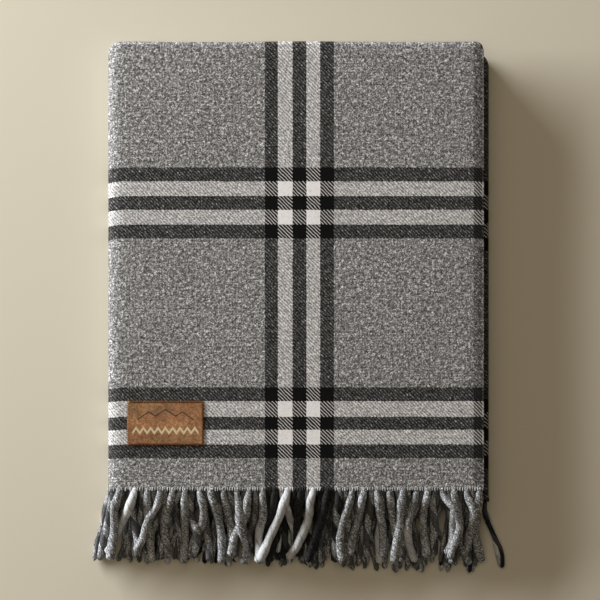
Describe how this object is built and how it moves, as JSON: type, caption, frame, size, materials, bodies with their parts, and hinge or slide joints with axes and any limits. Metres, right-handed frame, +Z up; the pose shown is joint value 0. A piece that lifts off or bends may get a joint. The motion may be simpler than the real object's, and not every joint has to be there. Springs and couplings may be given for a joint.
{
  "type": "camp blanket",
  "caption": "Heavy check wool camp blanket with fringed ends and a stitched label in one corner, folded flat and opening like a book.",
  "frame": {"origin": "on the floor, under the middle of the top panel's outline (the fringe not counted)", "axes": "+Z up from the floor through the folded layers, +Y from the fringe to the top fold, +X from the spine fold to the open selvedges"},
  "size_m": [0.3834, 0.5389, 0.04],
  "materials": {
    "wool_twill": "brushed wool 2/2 twill, grey heather ground, black and off-white check stripes",
    "wool_fringe": "twisted wool yarn",
    "label_suede": "matt brown suede",
    "label_thread": "sewing thread",
    "print_dark": "matt dark brown print",
    "print_cream": "matt cream print"
  },
  "bodies": {
    "lower_leaf": {"cloth_panel_bottom": "wool_twill", "cloth_panel_lower_middle": "wool_twill", "cloth_fold_right": "wool_twill", "cloth_spine_outer": "wool_twill", "cloth_spine_inner": "wool_twill", "fringe_bottom_end_a": "wool_fringe", "fringe_bottom_end_b": "wool_fringe", "fringe_lower_middle_end_b": "wool_fringe", "fringe_lower_middle_end_a": "wool_fringe", "fringe_fold_right": "wool_fringe", "fringe_spine": "wool_fringe"},
    "upper_leaf": {"cloth_panel_upper_middle": "wool_twill", "cloth_panel_top": "wool_twill", "fringe_upper_middle_end_a": "wool_fringe", "fringe_upper_middle_end_b": "wool_fringe", "fringe_top_end_b": "wool_fringe", "fringe_top_end_a": "wool_fringe", "label_patch": "label_suede", "label_stitches": "label_thread", "label_peaks": "print_dark", "label_band": "print_cream"}
  },
  "joints": [
    {"name": "book_fold", "type": "hinge", "parent": "lower_leaf", "child": "upper_leaf", "pos_m": [-0.16905, 0, 0.0191], "axis": [0, -1, 0], "range_deg": [0, 179.5], "deforming": ["cloth_spine_outer", "cloth_spine_inner", "fringe_spine"]}
  ]
}
